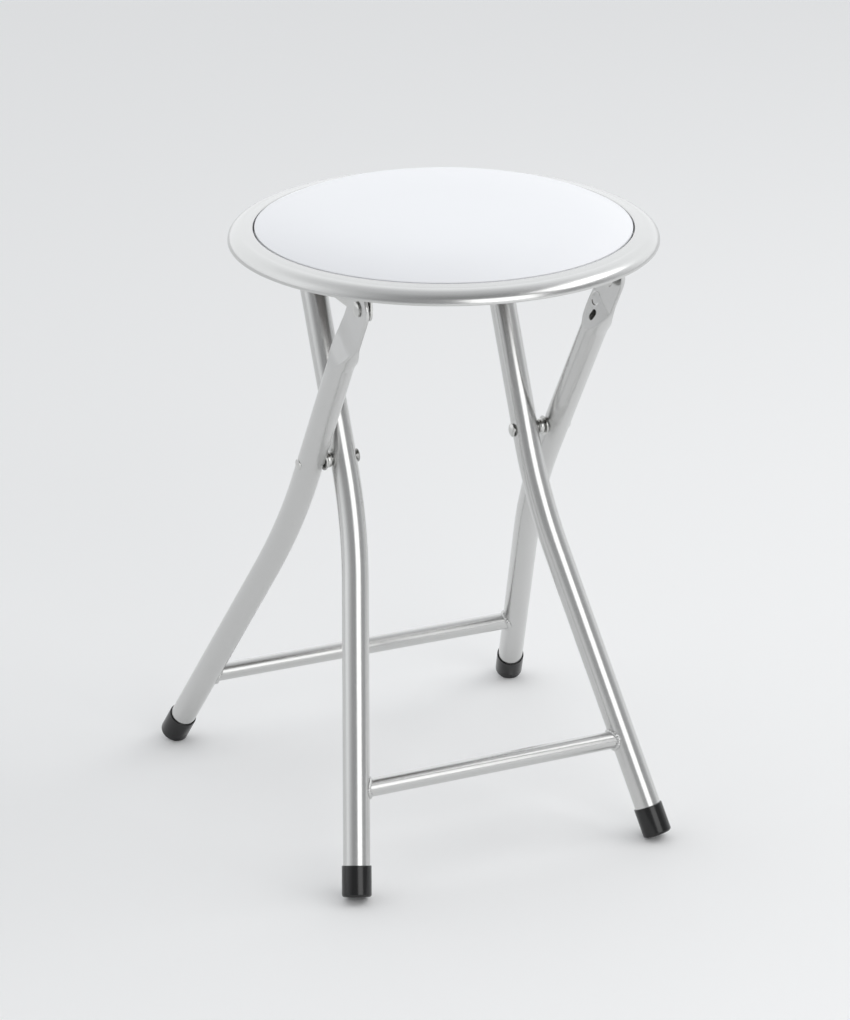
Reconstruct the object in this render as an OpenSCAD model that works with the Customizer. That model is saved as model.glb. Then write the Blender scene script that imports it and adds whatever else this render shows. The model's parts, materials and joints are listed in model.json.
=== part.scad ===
// Round folding stool: two bent tube frames that cross like scissors, a padded seat in a
// pressed steel ring, hinged on the outer frame and hooked over the inner frame's top bar.
// Millimetres. X is across the stool, -Y its front, Z up from the floor.

/* [Seat] */
// Height of the middle of the cushion above the floor
seat_h = 463.6; // [445:0.1:485]
// Outer diameter of the pressed seat ring
seat_d = 300; // [290:1:320]
// Height of the cushion's crown above the ring's lip
crown_h = 16.5; // [10:0.5:24]
// How flat the crown is: higher keeps it level nearer to its edge
crown_flat = 5; // [3:0.5:10]
// Thickness of the cushion's vinyl cover
cover_t = 0.8; // [0.6:0.1:1.2]
// Gap between the cushion and the ring's inner wall
cushion_gap = 1; // [0.5:0.1:2]
// Thickness of the board under the foam
board_t = 5; // [4:0.5:5]

/* [Seat ring] */
// Width of the ring's rounded shoulder
shoulder_w = 10.5; // [9:0.5:13]
// Height of the ring's rounded shoulder
shoulder_h = 8; // [7:0.5:9]
// Width of the sloping lip between the shoulder's crease and the cushion
lip_w = 7.3; // [6:0.1:9]
// Rise of the lip towards the cushion
lip_rise = 1.2; // [0.8:0.1:2]
// Thickness of the ring's sheet
sheet_t = 1; // [0.8:0.1:1.2]
// Radius of the rolled hem along the ring's lower edge
hem_r = 1.2; // [1:0.1:1.5]
// Width of the ring's inward flange, which carries the board
flange_w = 14; // [13:0.5:18]
// Height of the flange above the ring's lower edge
flange_up = 1; // [0.5:0.1:2]

/* [Frames] */
// Outer diameter of the leg tubes
tube_d = 19; // [18:0.5:20]
// Wall of the leg tubes
tube_wall = 1.2; // [1:0.1:1.5]
// Distance of the outer legs' upper ends from the seat's side rims
leg_inset = 53.9; // [52:0.1:58]
// Distance of the pivots behind the seat's centre
pivot_back = 15; // [12:0.1:18]
// Distance of the inner frame's top bar from the seat's rear rim
bar_inset = 65; // [63:0.1:68]
// Gap between an outer and an inner leg at the pivot
pivot_gap = 6; // [5:0.5:8]
// Distance from the pivots up the outer legs to the seat's hinge
hinge_up = 166.8; // [160:0.1:172]
// Outward splay of the legs below their bends
splay = 10.4; // [9:0.1:11]
// Distance from the pivot down to the middle of the outer legs' bend
outer_bend_down = 74; // [72:0.5:82]
// Bend radius of the outer legs
outer_bend_r = 600; // [500:10:640]
// Distance from the pivot down to the middle of the inner legs' bend
inner_bend_down = 48; // [47:0.5:54]
// Bend radius of the inner legs
inner_bend_r = 460; // [400:10:460]
// Bend radius at the top corners of the inner frame
corner_r = 35; // [30:1:40]
// How much bending swells a tube, on its radius
bend_swell = 0.15; // [0.12:0.01:0.2]

/* [Cross bars] */
// Outer diameter of the cross bars
bar_d = 13; // [12:0.5:14]
// Wall of the cross bars
bar_wall = 1; // [0.8:0.1:1.2]
// Distance from the outer legs' lower ends up to their cross bar
outer_bar_up = 72.6; // [64:0.1:80]
// Distance from the inner legs' lower ends up to their cross bar
inner_bar_up = 73.2; // [64:0.1:80]
// Width of the weld bead round each bar's end
weld_w = 1.5; // [1:0.1:2]

/* [Foot caps] */
// Outer diameter of the rubber foot caps
cap_d = 21; // [20.8:0.1:22.5]
// Length of the foot caps
cap_len = 22; // [20:1:28]
// Thickness of a cap's floor under the tube
cap_floor = 3; // [2.5:0.1:4]
// Rounding of a cap's lower edge
cap_round = 2; // [1.5:0.1:2.5]
// Depth of the flat worn where a cap stands on the floor
cap_flat = 0.8; // [0.5:0.1:1.2]

/* [Flattened leg ends] */
// Thickness of the flattened upper ends of the outer legs
tongue_t = 3; // [2.4:0.1:3.4]
// Half width of a flattened end, also the radius of its round end
tongue_r = 14.5; // [13:0.1:15.5]
// How far a flattened end lies inward of its tube's axis
tongue_in = 0.8; // [0:0.1:1.5]
// Length of the flattened end that is flat, below the hinge
tongue_flat = 28; // [26:0.5:31]
// Distance below the hinge where the tube is round again
tongue_neck = 56; // [54:0.5:60]
// Width of the vent slot in a leg's inner face
vent_d = 5; // [4:0.5:6]
// Length of the vent slot
vent_len = 9; // [7:0.5:9.5]
// Distance of the vent slot's middle below the hinge
vent_down = 42.4; // [41.5:0.1:44]
// Distance of the vent slot in front of the leg's middle
vent_side = 1; // [0:0.1:3]
// Diameter of the round press mark on a leg's inner face
mark_d = 9.5; // [8:0.5:11]
// Height of the press mark
mark_h = 0.4; // [0.2:0.1:0.6]
// Distance of the press mark below the hinge
mark_down = 33; // [32.5:0.1:34]
// Distance of the press mark behind the leg's middle
mark_side = 5.1; // [3:0.1:6]

/* [Hinge rails] */
// Thickness of the hinge rails' sheet
rail_t = 1.5; // [1.2:0.1:1.8]
// Distance of the seat's hinge from the seat's front rim
hinge_inset = 75.6; // [73:0.1:78]
// Gap between a flattened leg end and its rail
hinge_gap = 3.6; // [3:0.1:4.5]
// Clearance between the legs' round ends and the rails' upper flanges
hinge_clear = 2.1; // [1.8:0.1:3.5]
// Depth of a rail below the hinge
rail_deep = 9.3; // [8.5:0.1:11]
// Length of a rail in front of the hinge, also its corner's radius
rail_nose = 7.6; // [6.8:0.1:8.4]
// Width of a rail's upper flange
rail_flange_w = 17.5; // [16:0.5:19]

/* [Rivets and screws] */
// Diameter of the pivot rivets
pivot_d = 6; // [5:0.5:7]
// Diameter of the pivot rivets' heads
pivot_head_d = 9.8; // [9:0.1:11]
// Height of the pivot rivets' domed heads
pivot_head_h = 2.6; // [2:0.1:3]
// Diameter of the flat heads on the outer legs
flat_head_d = 7.8; // [7.2:0.1:9]
// Height of the flat heads on the outer legs
flat_head_h = 0.6; // [0.4:0.1:1.2]
// Diameter of the pivot spacers
spacer_d = 11.5; // [10.5:0.1:12.5]
// Diameter of the washers beside the spacers
washer_d = 14.5; // [13.5:0.1:15.5]
// Thickness of the washers beside the spacers
washer_t = 1; // [0.8:0.1:1.2]
// Diameter of the hinge rivets
hinge_d = 5; // [4.5:0.1:6]
// Diameter of the hinge rivets' domed heads
hinge_head_d = 11; // [10:0.1:12]
// Height of the hinge rivets' domed heads
hinge_head_h = 2.5; // [2:0.1:3]
// Diameter of the hinge rivets' inner heads
hinge_tail_d = 9; // [8:0.1:10]
// Thickness of the hinge rivets' inner heads
hinge_tail_h = 1.4; // [1:0.1:2]
// Diameter of the hinge washers
hinge_washer_d = 12; // [10.5:0.1:13]
// Diameter of the wood screws
screw_d = 3.5; // [3:0.1:4]
// Diameter of the screws' heads
screw_head_d = 7; // [6.5:0.1:7.5]
// Height of the screws' heads
screw_head_h = 2.1; // [1.8:0.1:2.4]

/* [Bar catches] */
// Thickness of the catches' strip
catch_t = 2; // [1.5:0.1:2.5]
// Width of the catches
catch_w = 24; // [20:1:30]
// Distance of the catches' middles from the stool's middle
catch_x = 36; // [30:1:40]
// How far a catch's rear wall reaches below the bar's axis
catch_deep = 9; // [6:0.5:12]
// How far past the top a catch's lip wraps towards the front, in degrees
catch_wrap = 55; // [40:1:60]
// Length of a catch's screwed foot behind the bar
catch_foot = 9; // [8.5:0.5:12]

/* [Clearances] */
// Clearance round the bar in its catches
catch_fit = 0.3; // [0.2:0.1:0.5]
// Radial clearance of a rivet in a part that turns on it
run_fit = 0.05; // [0.03:0.01:0.1]
// Radial clearance of a rivet or screw in a part that it holds fast
hold_fit = 0.02; // [0.01:0.01:0.05]
// Gap beside a part that turns on a rivet
turn_gap = 0.3; // [0.2:0.05:0.4]
// Clearance between the caps and their tubes
slip_fit = 0.1; // [0.05:0.05:0.2]
// Clearance between the cover and the board and foam inside it
pad_fit = 0.3; // [0.2:0.05:0.5]
// Clearance between the catches' feet and the ring's flange
foot_fit = 1; // [0.5:0.1:2]

/* [Hidden] */

silver = [0.74, 0.74, 0.73];
steel = [0.80, 0.80, 0.81];
rubber = [0.05, 0.05, 0.05];
vinyl = [0.93, 0.94, 0.96];
bare_board = [0.62, 0.50, 0.36];
foam_cream = [0.90, 0.86, 0.70];

fn_tube = 64;
fn_small = 40;
fn_bend = 720;
fn_seat = 180;
far = 400;
bend_lap = 0.4;
press_step = 0.1;

tube_r = tube_d / 2;
bore_r = tube_r - tube_wall;
bar_r = bar_d / 2;
cap_r = cap_d / 2;
ring_r = seat_d / 2;
outer_x = ring_r - leg_inset;
inner_x = outer_x - tube_d - pivot_gap;

// Heights of the seat's layers, from the crown down
lip_z = seat_h - crown_h;
ring_z = lip_z - lip_rise - shoulder_h;
flange_top = ring_z + flange_up + sheet_t;
board_z = flange_top + cover_t;
rail_top = ring_z + flange_up;
rail_under = rail_top - rail_t;

// Radii of the ring, from the outside in
crease_r = ring_r - shoulder_w;
lip_r = crease_r - lip_w;
flange_r = lip_r - flange_w;
cushion_r = lip_r - cushion_gap;
board_r = cushion_r - cover_t - pad_fit;

// The hinge, the pivots and the inner frame's top bar are placed under the seat, and the two
// frames lean to meet them
hinge_z = rail_under - hinge_clear - tongue_r;
hinge_forward = ring_r - hinge_inset;
top_bar_z = board_z - catch_t - catch_fit - tube_r;
top_bar_back = ring_r - bar_inset;
outer_lean = asin((hinge_forward + pivot_back) / hinge_up);
pivot_z = hinge_z - hinge_up * cos(outer_lean);
inner_lean = atan((top_bar_back - pivot_back) / (top_bar_z - pivot_z));
top_up = norm([top_bar_back - pivot_back, top_bar_z - pivot_z]);

// The legs run down from the pivots until their caps' rims meet the floor
function foot_tilt(lean) = acos(cos(splay) * cos(lean));
function foot_z(lean) = cap_round * (1 - cos(foot_tilt(lean)))
    + (cap_r - cap_round) * sin(foot_tilt(lean)) - cap_flat;
function leg_down(lean) = (pivot_z - foot_z(lean)) / cos(lean);
function bend_start(down, r) = down - r * tan(splay / 2);
function bend_stop(down, r) = bend_start(down, r) + r * sin(splay);
function splay_x(x0, down, s) = x0 + (s - down) * tan(splay);

outer_down = leg_down(outer_lean);
inner_down = leg_down(inner_lean);
outer_bar_down = outer_down - outer_bar_up;
inner_bar_down = inner_down - inner_bar_up;

// Front and rear of the stool about the seat's centre, so that the origin lies between them
function reach(lean) = leg_down(lean) * sin(lean) - cap_round * cos(splay) * sin(lean)
    + (cap_r - cap_round) * sqrt(1 - pow(cos(splay) * sin(lean), 2)) + cap_round;
rear_y = max(ring_r, pivot_back + reach(outer_lean));
front_y = min(-ring_r, pivot_back - reach(inner_lean));
seat_y = -(rear_y + front_y) / 2;
hinge_y = seat_y - hinge_forward;
pivot_y = seat_y + pivot_back;
top_bar_y = seat_y + top_bar_back;

// The hinge's stack across the stool
tongue_x = outer_x - tongue_in;
tongue_face = tongue_x - tongue_t / 2;
rail_face = tongue_face - hinge_gap;
screw_x = rail_face + rail_flange_w - screw_head_d / 2 - 2;
screw_ring_r = flange_r + flange_w * 0.42;
screw_y = sqrt(pow(screw_ring_r, 2) - pow(screw_x, 2));
rail_back = sqrt(pow(flange_r + flange_w / 2, 2) - pow(rail_face, 2));
rail_front = max(hinge_forward + rail_nose, screw_y + screw_head_d / 2 + 2);

// A tube's solid: straight down from the top, a bend outward, then straight at the splay.
// The straights run a little way into the bend, which bending swells.
module bent_tube(r_bend, r, turn) {
    rotate([90, 0, 0])
        rotate_extrude(angle = turn, $fn = fn_bend)
            translate([r_bend, 0])
                circle(r = r + bend_swell, $fn = fn_tube);
}

module leg_run(x0, top, down, r_bend, s_end, r) {
    s1 = bend_start(down, r_bend);
    s2 = bend_stop(down, r_bend);
    x2 = x0 + r_bend * (1 - cos(splay));
    len = (s_end - s2) / cos(splay);
    translate([x0, 0, -s1 - bend_lap])
        cylinder(h = top + s1 + bend_lap, r = r, $fn = fn_tube);
    translate([x0 + r_bend, 0, -s1])
        rotate([0, 180, 0])
            bent_tube(r_bend, r, splay);
    translate([x2, 0, -s2])
        rotate([0, -splay, 0])
            translate([0, 0, -len])
                cylinder(h = len + bend_lap, r = r, $fn = fn_tube);
}

// Places its children at the lower end of a leg, with +Z up along the tube
module at_foot(x0, down, s_end) {
    translate([splay_x(x0, down, s_end), 0, -s_end])
        rotate([0, -splay, 0])
            children();
}

module outer_place() {
    translate([0, pivot_y, pivot_z])
        rotate([outer_lean, 0, 0])
            children();
}

module inner_place() {
    translate([0, pivot_y, pivot_z])
        rotate([-inner_lean, 0, 0])
            children();
}

// Right-hand pieces are drawn, and left-hand ones are their mirror images
module side(s) {
    mirror([s < 0 ? 1 : 0, 0, 0])
        children();
}

// A cylinder along X from x1 to x2
module pin_x(x1, x2, r, fn = fn_small) {
    translate([x1, 0, 0])
        rotate([0, 90, 0])
            cylinder(h = x2 - x1, r = r, $fn = fn);
}

// A domed head on the plane z = 0
module dome(d, h) {
    rs = (d * d / 4 + h * h) / (2 * h);
    intersection() {
        translate([0, 0, h - rs])
            sphere(r = rs, $fn = 96);
        cylinder(h = h, r = d / 2, $fn = fn_small);
    }
}

// The flattened end: a cone for the widening walls, cut by a wedge for the pressed faces
neck_low = hinge_up - tongue_neck;
neck_high = hinge_up - tongue_flat;
neck_r = norm([tongue_r, tongue_in + tongue_t / 2]) + bend_swell;
neck_hip = tube_r + 2 * bend_swell;

module tongue_neck_solid() {
    thin = tongue_t / 2 + press_step;
    intersection() {
        translate([outer_x, 0, neck_low])
            cylinder(h = neck_high - neck_low, r1 = tube_r + bend_swell, r2 = neck_r, $fn = fn_tube);
        rotate([90, 0, 0])
            translate([0, 0, -far / 2])
                linear_extrude(height = far)
                    polygon([
                        [outer_x - neck_hip, neck_low], [outer_x + neck_hip, neck_low],
                        [tongue_x + thin, neck_high], [tongue_x - thin, neck_high]
                    ]);
    }
}

module tongue_neck_bore() {
    long = tongue_neck - tongue_flat;
    hip = neck_hip - tube_wall * norm([tube_r, long]) / long;
    intersection() {
        translate([outer_x, 0, neck_low])
            cylinder(h = long, r1 = bore_r + bend_swell, r2 = neck_r - tube_wall, $fn = fn_tube);
        rotate([90, 0, 0])
            translate([0, 0, -far / 2])
                linear_extrude(height = far)
                    polygon([[outer_x - hip, neck_low], [outer_x + hip, neck_low], [tongue_x, neck_high]]);
    }
}

// A raised round mark on the inner face's ramp
module press_mark() {
    run = neck_hip - tongue_in - tongue_t / 2 - press_step;
    slope = run / (neck_high - neck_low);
    up = hinge_up - mark_down;
    translate([tongue_face - press_step - (neck_high - up) * slope, mark_side, up])
        rotate([0, atan(slope), 0])
            pin_x(-mark_h, 1, mark_d / 2);
}

module vent_slot() {
    long = vent_len - vent_d;
    translate([0, -vent_side, hinge_up - vent_down]) {
        for (t = [-1, 1])
            translate([0, 0, t * long / 2])
                pin_x(inner_x, outer_x, vent_d / 2);
        translate([inner_x, -vent_d / 2, -long / 2])
            cube([outer_x - inner_x, vent_d, long]);
    }
}

module outer_leg() {
    s_end = outer_down - cap_floor * cos(splay);
    difference() {
        union() {
            leg_run(outer_x, neck_low + bend_lap, outer_bend_down, outer_bend_r, s_end, tube_r);
            tongue_neck_solid();
            press_mark();
            translate([tongue_face, -tongue_r, neck_high - bend_lap])
                cube([tongue_t, 2 * tongue_r, tongue_flat + bend_lap]);
            translate([0, 0, hinge_up])
                pin_x(tongue_face, tongue_face + tongue_t, tongue_r, fn_tube);
        }
        leg_run(outer_x, neck_low + bend_lap, outer_bend_down, outer_bend_r, s_end + 2, bore_r);
        tongue_neck_bore();
        translate([0, 0, hinge_up])
            pin_x(tongue_face - 5, tongue_face + tongue_t + 5, hinge_d / 2 + hold_fit);
        vent_slot();
        pin_x(outer_x - tube_d, outer_x + tube_d, pivot_d / 2 + hold_fit);
    }
}

module outer_leg_left() {
    color(silver) outer_place() side(-1) outer_leg();
}

module outer_leg_right() {
    color(silver) outer_place() side(1) outer_leg();
}

// A cross bar between two splayed legs, its ends coped to the tubes
module cross_bar(x0, down, r_bend, s_bar, s_end) {
    xb = splay_x(x0, down, s_bar);
    difference() {
        translate([0, 0, -s_bar])
            pin_x(-xb, xb, bar_r, fn_tube);
        translate([0, 0, -s_bar])
            pin_x(-xb - 1, xb + 1, bar_r - bar_wall, fn_tube);
        for (s = [-1, 1])
            side(s)
                at_foot(x0, down, s_end)
                    cylinder(h = s_end - bend_stop(down, r_bend), r = tube_r + hold_fit, $fn = fn_tube);
    }
}

// Weld beads that follow the joint between a bar and its legs
module bar_welds(x0, down, r_bend, s_bar, s_end) {
    xb = splay_x(x0, down, s_bar);
    long = s_end - bend_stop(down, r_bend);
    for (s = [-1, 1])
        side(s)
            difference() {
                intersection() {
                    translate([0, 0, -s_bar])
                        pin_x(xb - tube_d, xb, bar_r + weld_w, fn_tube);
                    at_foot(x0, down, s_end)
                        cylinder(h = long, r = tube_r + weld_w, $fn = fn_tube);
                }
                translate([0, 0, -s_bar])
                    pin_x(xb - tube_d - 1, xb + 1, bar_r + hold_fit, fn_tube);
                at_foot(x0, down, s_end)
                    translate([0, 0, -1])
                        cylinder(h = long + 2, r = tube_r + hold_fit, $fn = fn_tube);
            }
}

module outer_cross_bar() {
    color(silver) outer_place()
        cross_bar(outer_x, outer_bend_down, outer_bend_r, outer_bar_down, outer_down);
}

module outer_bar_welds() {
    color(silver) outer_place()
        bar_welds(outer_x, outer_bend_down, outer_bend_r, outer_bar_down, outer_down);
}

// A rubber cap: a closed sleeve with a rounded lower edge, flat where it stands
module foot_cap() {
    n = 6;
    arc = [for (i = [0 : n])
        [cap_r - cap_round + cap_round * sin(90 * i / n), cap_round - cap_round * cos(90 * i / n)]];
    rotate_extrude($fn = fn_tube)
        polygon(concat([[0, 0]], arc, [
            [cap_r, cap_len - 0.6], [cap_r - 0.4, cap_len],
            [tube_r + slip_fit / 2, cap_len], [tube_r + slip_fit / 2, cap_floor], [0, cap_floor]
        ]));
}

module stand() {
    difference() {
        children();
        translate([-far, -far, -far])
            cube([2 * far, 2 * far, far]);
    }
}

module outer_foot(s) {
    stand()
        outer_place()
            side(s)
                at_foot(outer_x, outer_bend_down, outer_down)
                    foot_cap();
}

module outer_foot_left() {
    color(rubber) outer_foot(-1);
}

module outer_foot_right() {
    color(rubber) outer_foot(1);
}

// A pivot rivet: flat head on the outer leg, domed head beyond the inner leg
module pivot_rivet() {
    out = outer_x + tube_r;
    in = inner_x - tube_r - turn_gap;
    pin_x(in, out, pivot_d / 2);
    translate([in, 0, 0])
        rotate([0, -90, 0])
            dome(pivot_head_d, pivot_head_h);
    difference() {
        pin_x(out - 2, out + flat_head_h, flat_head_d / 2);
        translate([outer_x, 0, -tube_d])
            cylinder(h = 2 * tube_d, r = tube_r + hold_fit, $fn = fn_tube);
    }
}

module pivot_rivet_left() {
    color(steel) outer_place() side(-1) pivot_rivet();
}

module pivot_rivet_right() {
    color(steel) outer_place() side(1) pivot_rivet();
}

module pivot_spacer() {
    x1 = inner_x + tube_r + turn_gap;
    x2 = outer_x - tube_r - washer_t;
    difference() {
        pin_x(x1, x2, spacer_d / 2);
        pin_x(x1 - 1, x2 + 1, pivot_d / 2 + hold_fit);
    }
}

module pivot_spacer_left() {
    color(steel) outer_place() side(-1) pivot_spacer();
}

module pivot_spacer_right() {
    color(steel) outer_place() side(1) pivot_spacer();
}

module pivot_washers() {
    x2 = outer_x - tube_r;
    color(steel) outer_place()
        for (s = [-1, 1])
            side(s)
                difference() {
                    pin_x(x2 - washer_t, x2, washer_d / 2);
                    pin_x(x2 - washer_t - 1, x2 + 1, pivot_d / 2 + hold_fit);
                }
}

// A hinge rivet: domed head on the leg's flattened end, shank through the rail, flat tail
module hinge_rivet() {
    x1 = rail_face - rail_t - turn_gap;
    x2 = tongue_face + tongue_t;
    pin_x(x1, x2, hinge_d / 2);
    pin_x(x1 - hinge_tail_h, x1, hinge_tail_d / 2);
    translate([x2, 0, 0])
        rotate([0, 90, 0])
            dome(hinge_head_d, hinge_head_h);
}

module at_hinge() {
    outer_place()
        translate([0, 0, hinge_up])
            children();
}

module hinge_rivet_left() {
    color(steel) at_hinge() side(-1) hinge_rivet();
}

module hinge_rivet_right() {
    color(steel) at_hinge() side(1) hinge_rivet();
}

module hinge_washers() {
    x1 = rail_face + turn_gap;
    color(steel) at_hinge()
        for (s = [-1, 1])
            side(s)
                difference() {
                    pin_x(x1, tongue_face, hinge_washer_d / 2);
                    pin_x(x1 - 1, tongue_face + 1, hinge_d / 2 + hold_fit);
                }
}

// The inner frame: one tube bent into a tall arch
module arch(r, s_end) {
    for (s = [-1, 1])
        side(s) {
            leg_run(inner_x, top_up - corner_r + bend_lap, inner_bend_down, inner_bend_r, s_end, r);
            translate([inner_x - corner_r, 0, top_up - corner_r])
                bent_tube(corner_r, r, 90);
        }
    translate([0, 0, top_up])
        pin_x(corner_r - inner_x - bend_lap, inner_x - corner_r + bend_lap, r, fn_tube);
}

module inner_frame_tube() {
    s_end = inner_down - cap_floor * cos(splay);
    color(silver) inner_place()
        difference() {
            arch(tube_r, s_end);
            arch(bore_r, s_end + 2);
            for (s = [-1, 1])
                side(s)
                    pin_x(inner_x - tube_d, inner_x + tube_d, pivot_d / 2 + run_fit);
        }
}

module inner_cross_bar() {
    color(silver) inner_place()
        cross_bar(inner_x, inner_bend_down, inner_bend_r, inner_bar_down, inner_down);
}

module inner_bar_welds() {
    color(silver) inner_place()
        bar_welds(inner_x, inner_bend_down, inner_bend_r, inner_bar_down, inner_down);
}

module inner_foot(s) {
    stand()
        inner_place()
            side(s)
                at_foot(inner_x, inner_bend_down, inner_down)
                    foot_cap();
}

module inner_foot_left() {
    color(rubber) inner_foot(-1);
}

module inner_foot_right() {
    color(rubber) inner_foot(1);
}

module at_seat() {
    translate([0, seat_y, 0])
        children();
}

// Where the screws go in, seen from above, about the seat's centre
rail_screw_spots = [for (s = [-1, 1]) for (t = [-1, 1]) [s * screw_x, t * screw_y]];
catch_screw_back = top_bar_back + tube_r + catch_fit + catch_t + screw_head_d / 2 + 1;
catch_screw_spots = [for (s = [-1, 1]) for (t = [-1, 1])
    [s * catch_x + t * catch_w / 4, catch_screw_back]];

// Holes for the rails' screws through the ring's flange and the cover's hem
module rail_screw_holes() {
    for (p = rail_screw_spots)
        translate([p[0], p[1], ring_z])
            cylinder(h = board_z + 1 - ring_z, r = screw_d / 2 + hold_fit, $fn = fn_small);
}

// The pressed ring: rolled hem, rounded shoulder, sloping lip, inner wall and flange
module seat_ring() {
    n = 12;
    hem = [for (i = [0 : 8])
        [ring_r - hem_r - hem_r * cos(180 * i / 8), -hem_r * sin(180 * i / 8)]];
    outside = [for (i = [1 : n])
        [crease_r + shoulder_w * cos(90 * i / n), shoulder_h * sin(90 * i / n)]];
    inside = [for (i = [n : -1 : 1])
        [crease_r + (shoulder_w - sheet_t) * cos(90 * i / n), (shoulder_h - sheet_t) * sin(90 * i / n)]];
    top = shoulder_h + lip_rise;
    color(silver)
        at_seat()
            difference() {
                translate([0, 0, ring_z])
                    rotate_extrude($fn = fn_seat)
                        polygon(concat(hem, outside, [
                            [lip_r + 1, top - 0.1], [lip_r + 0.3, top - 0.3], [lip_r, top - 1],
                            [lip_r, flange_up + sheet_t], [flange_r, flange_up + sheet_t],
                            [flange_r, flange_up], [lip_r + sheet_t, flange_up],
                            [lip_r + sheet_t, top - 1 - sheet_t]
                        ], inside, [[ring_r - sheet_t, 0]]));
                rail_screw_holes();
            }
}

// Height of the cushion's surface above the lip at a radius, for an edge at rim
function crown(r, rim) = crown_h * (1 - pow(r / rim, crown_flat));
function crown_line(rim) = [for (i = [0 : 16])
    let (r = rim * (1 - pow(1 - i / 16, 2))) [r, crown(r, rim)]];

// A vinyl cover drawn over the foam and the board's edge, and turned in under the board
module seat_cover() {
    rim = cushion_r;
    rim_in = cushion_r - cover_t;
    over = [for (p = crown_line(rim)) [p[0], lip_z + p[1]]];
    under = [for (p = crown_line(rim_in)) [p[0], lip_z - cover_t + p[1]]];
    back = [for (i = [len(under) - 1 : -1 : 0]) under[i]];
    color(vinyl)
        at_seat()
            difference() {
                rotate_extrude($fn = fn_seat)
                    polygon(concat(over, [
                        [rim, flange_top], [flange_r, flange_top],
                        [flange_r, board_z - press_step], [rim_in, board_z - press_step]
                    ], back));
                rail_screw_holes();
            }
}

module seat_foam() {
    rim_in = cushion_r - cover_t - pad_fit;
    over = [for (p = crown_line(rim_in)) [p[0], lip_z - cover_t - pad_fit + p[1]]];
    color(foam_cream)
        at_seat()
            rotate_extrude($fn = fn_seat)
                polygon(concat([[0, board_z + board_t]], over, [[rim_in, board_z + board_t]]));
}

module seat_board() {
    color(bare_board)
        at_seat()
            difference() {
                translate([0, 0, board_z])
                    cylinder(h = board_t, r = board_r, $fn = fn_seat);
                for (p = concat(rail_screw_spots, catch_screw_spots))
                    translate([p[0], p[1], board_z - 1])
                        cylinder(h = board_t, r = screw_d / 2 + hold_fit, $fn = fn_small);
            }
}

// A screw driven up from z = 0 through a thickness into the board
module screw(under) {
    translate([0, 0, under])
        mirror([0, 0, 1])
            dome(screw_head_d, screw_head_h);
    translate([0, 0, under])
        cylinder(h = board_z + board_t - 1.5 - under, r = screw_d / 2, $fn = fn_small);
}

module rail_screws() {
    color(steel)
        at_seat()
            for (p = rail_screw_spots)
                translate([p[0], p[1], 0])
                    screw(rail_under);
}

module catch_screws() {
    color(steel)
        at_seat()
            for (p = catch_screw_spots)
                translate([p[0], p[1], 0])
                    screw(board_z - catch_t);
}

// A hinge rail: an angle whose web hangs beside the leg's end and whose flange is screwed up
module hinge_rail() {
    low = hinge_z - rail_deep;
    front = -rail_front;
    x1 = rail_face - rail_t;
    difference() {
        union() {
            translate([x1, front + rail_nose, low])
                cube([rail_t, rail_back - front - 2 * rail_nose, rail_top - low]);
            translate([x1, front, low + rail_nose])
                cube([rail_t, rail_back - front, rail_top - low - rail_nose]);
            for (y = [front + rail_nose, rail_back - rail_nose])
                translate([0, y, low + rail_nose])
                    pin_x(x1, rail_face, rail_nose);
            translate([x1, front, rail_under])
                cube([rail_flange_w + rail_t, rail_back - front, rail_t]);
        }
        translate([0, -hinge_forward, hinge_z])
            pin_x(x1 - 1, rail_face + 1, hinge_d / 2 + run_fit);
        for (t = [-1, 1])
            translate([screw_x, t * screw_y, rail_under - 1])
                cylinder(h = rail_t + 2, r = screw_d / 2 + hold_fit, $fn = fn_small);
    }
}

module hinge_rail_left() {
    color(silver) at_seat() side(-1) hinge_rail();
}

module hinge_rail_right() {
    color(silver) at_seat() side(1) hinge_rail();
}

// A catch: a strip bent over the top bar, deep behind it and open towards the front
module bar_catch() {
    r1 = tube_r + catch_fit;
    r2 = r1 + catch_t;
    difference() {
        translate([catch_x - catch_w / 2, top_bar_back, top_bar_z])
            union() {
                rotate([90, 0, 90])
                    rotate_extrude(angle = 90 + catch_wrap, $fn = 180)
                        translate([r1, 0])
                            square([catch_t, catch_w]);
                translate([0, r1, -catch_deep])
                    cube([catch_w, catch_t, catch_deep + r2]);
                translate([0, r1, r1])
                    cube([catch_w, catch_t + catch_foot, catch_t]);
            }
        translate([0, 0, board_z - catch_t - 1])
            difference() {
                cylinder(h = catch_t + 2, r = ring_r, $fn = fn_seat);
                translate([0, 0, -1])
                    cylinder(h = catch_t + 4, r = flange_r - foot_fit, $fn = fn_seat);
            }
        for (t = [-1, 1])
            translate([catch_x + t * catch_w / 4, catch_screw_back, board_z - catch_t - 1])
                cylinder(h = catch_t + 2, r = screw_d / 2 + hold_fit, $fn = fn_small);
    }
}

module bar_catch_left() {
    color(silver) at_seat() side(-1) bar_catch();
}

module bar_catch_right() {
    color(silver) at_seat() side(1) bar_catch();
}

outer_leg_left();
outer_leg_right();
outer_cross_bar();
outer_bar_welds();
outer_foot_left();
outer_foot_right();
pivot_rivet_left();
pivot_rivet_right();
pivot_spacer_left();
pivot_spacer_right();
pivot_washers();
hinge_rivet_left();
hinge_rivet_right();
hinge_washers();
inner_frame_tube();
inner_cross_bar();
inner_bar_welds();
inner_foot_left();
inner_foot_right();
seat_ring();
seat_board();
seat_foam();
seat_cover();
hinge_rail_left();
hinge_rail_right();
rail_screws();
bar_catch_left();
bar_catch_right();
catch_screws();
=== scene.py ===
"""Round folding stool: the visible pieces, finishes, lights and camera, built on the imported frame.

Lengths are metres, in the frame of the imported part: origin on the floor under the middle of the
stool, X across it, -Y its front, Z up.
"""

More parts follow.
